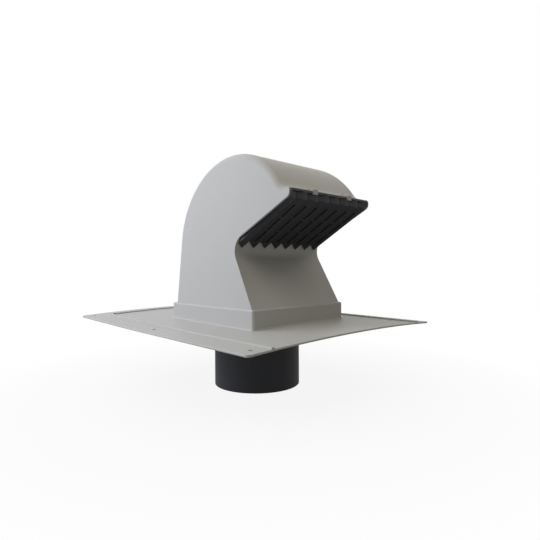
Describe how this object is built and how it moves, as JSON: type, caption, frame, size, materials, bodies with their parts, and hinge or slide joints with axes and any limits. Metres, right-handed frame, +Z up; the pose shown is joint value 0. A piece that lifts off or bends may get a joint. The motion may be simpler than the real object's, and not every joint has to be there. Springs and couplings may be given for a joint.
{
  "type": "goose neck roof vent",
  "caption": "Roof vent with a goose-neck hood on a square curb and a wide crowned flange, a pleated grille across the down-facing mouth and a round duct collar below.",
  "frame": {"origin": "centre of the duct collar's lower rim", "axes": "+Z up along the duct collar's axis, -Y out of the hood's mouth (down the roof), X across the flange"},
  "size_m": [0.276, 0.3165, 0.253],
  "materials": {
    "grey_plastic": "satin moulded plastic, light grey",
    "black_grille": "satin moulded plastic, black",
    "black_collar": "satin moulded plastic, black"
  },
  "bodies": {
    "root": {"vent_hood": "grey_plastic", "grille": "black_grille", "duct_collar": "black_collar"}
  },
  "joints": []
}
